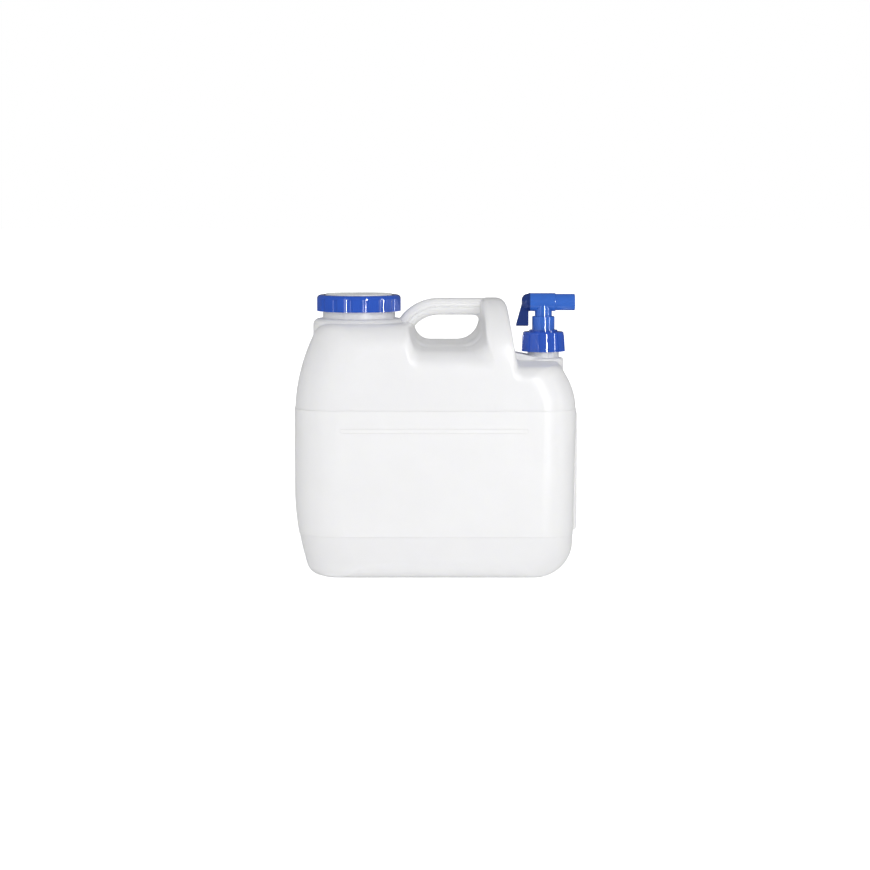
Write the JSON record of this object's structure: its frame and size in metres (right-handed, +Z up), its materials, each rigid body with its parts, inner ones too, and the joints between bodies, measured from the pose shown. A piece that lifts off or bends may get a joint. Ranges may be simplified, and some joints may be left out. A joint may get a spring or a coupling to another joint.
{
  "type": "water can with tap",
  "caption": "Upright blow-moulded water can with a hollow grip over a finger pocket, a wide screw lid and a swivelling lever tap on its shoulder.",
  "frame": {"origin": "the middle of the underside, on the surface that the can stands on; Y = 0 is the parting plane", "axes": "+X from the lid's end towards the tap's end, +Y from the seen face to the far face, +Z up"},
  "size_m": [0.365, 0.196, 0.3627],
  "materials": {
    "can_plastic": "milky translucent polyethylene, satin",
    "ring_plastic": "glossy blue polypropylene",
    "disc_plastic": "milky polyethylene",
    "tap_plastic": "glossy blue polypropylene",
    "lever_plastic": "glossy darker blue polypropylene",
    "gasket_rubber": "white rubber"
  },
  "bodies": {
    "can": {"can_body": "can_plastic"},
    "lid": {"lid_disc": "disc_plastic", "lid_gasket": "gasket_rubber"},
    "lid_ring": {"lid_ring": "ring_plastic"},
    "tap_seat": {"tap_gasket": "gasket_rubber"},
    "tap": {"tap_body": "tap_plastic"},
    "tap_ring": {"tap_ring": "ring_plastic"},
    "tap_lever": {"tap_lever": "lever_plastic"}
  },
  "joints": [
    {"name": "lid_lift", "type": "slide", "parent": "can", "child": "lid", "axis": [0, 0, 1], "range_m": [0, 0.018]},
    {"name": "lid_turn", "type": "hinge", "parent": "lid", "child": "lid_ring", "pos_m": [-0.1, 0, 0.35], "axis": [0, 0, 1], "range_deg": [0, 1080]},
    {"name": "tap_lift", "type": "slide", "parent": "can", "child": "tap_seat", "axis": [0, 0, 1], "range_m": [0, 0.018]},
    {"name": "tap_ring_turn", "type": "hinge", "parent": "tap_seat", "child": "tap_ring", "pos_m": [0.14, 0, 0.3], "axis": [0, 0, 1], "range_deg": [0, 1080]},
    {"name": "tap_swivel", "type": "hinge", "parent": "tap_seat", "child": "tap", "pos_m": [0.14, 0, 0.3055], "axis": [0, 0, 1], "continuous": true},
    {"name": "tap_lever_turn", "type": "hinge", "parent": "tap", "child": "tap_lever", "pos_m": [0.14, 0, 0.3507], "axis": [-1, 0, 0], "range_deg": [0, 90]}
  ],
  "couplings": [
    {"joint": "lid_lift", "follows": "lid_turn", "m_per_rad": 0.00095493},
    {"joint": "tap_lift", "follows": "tap_ring_turn", "m_per_rad": 0.00095493}
  ]
}
